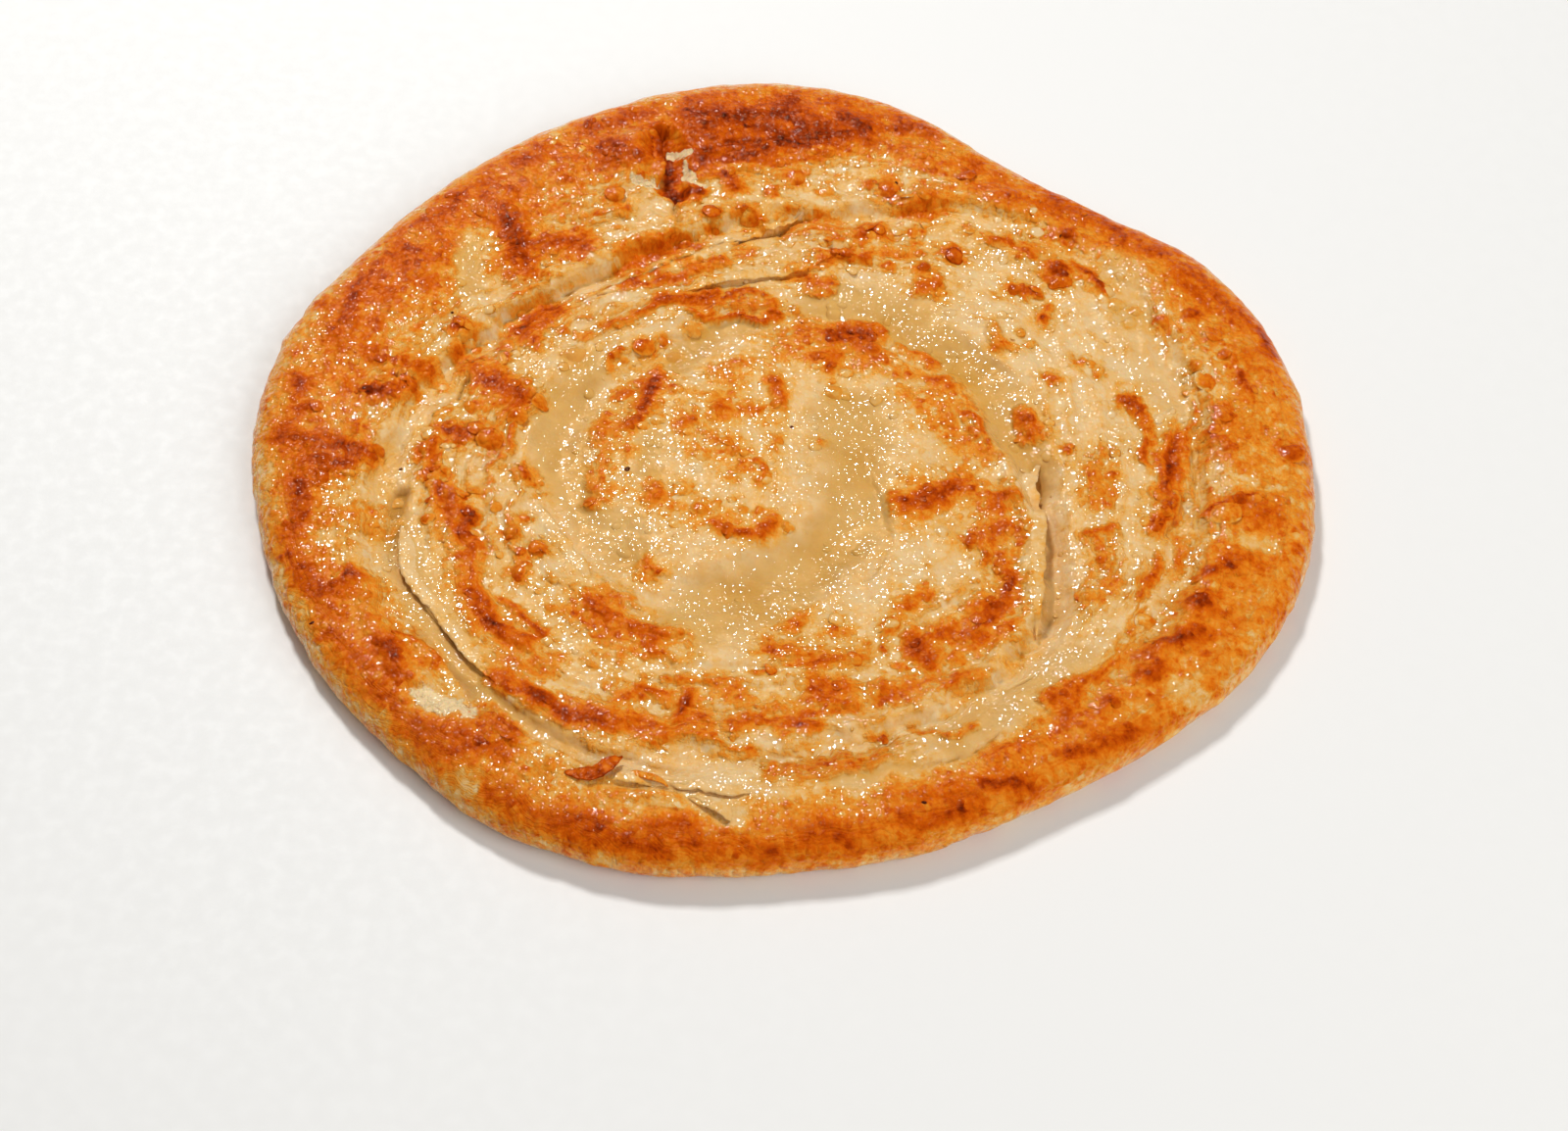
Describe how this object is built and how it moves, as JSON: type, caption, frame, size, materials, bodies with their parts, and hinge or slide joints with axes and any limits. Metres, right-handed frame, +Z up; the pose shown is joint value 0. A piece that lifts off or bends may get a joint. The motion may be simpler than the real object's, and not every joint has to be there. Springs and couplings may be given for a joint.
{
  "type": "lachha paratha",
  "caption": "Round flat layered bread, a pleated rope of dough coiled, rolled flat and pan-fried until its ridges brown.",
  "frame": {"origin": "middle of the flat underside, below the middle of the round's outline", "axes": "+Z up through the thickness, browned coil side up; +X to the right and +Y away from the viewer as served"},
  "size_m": [0.1976, 0.1936, 0.0096],
  "materials": {
    "fried_dough": "oily fried dough, cream in the folds and brown on the ridges"
  },
  "bodies": {
    "root": {"paratha": "fried_dough"}
  },
  "joints": []
}
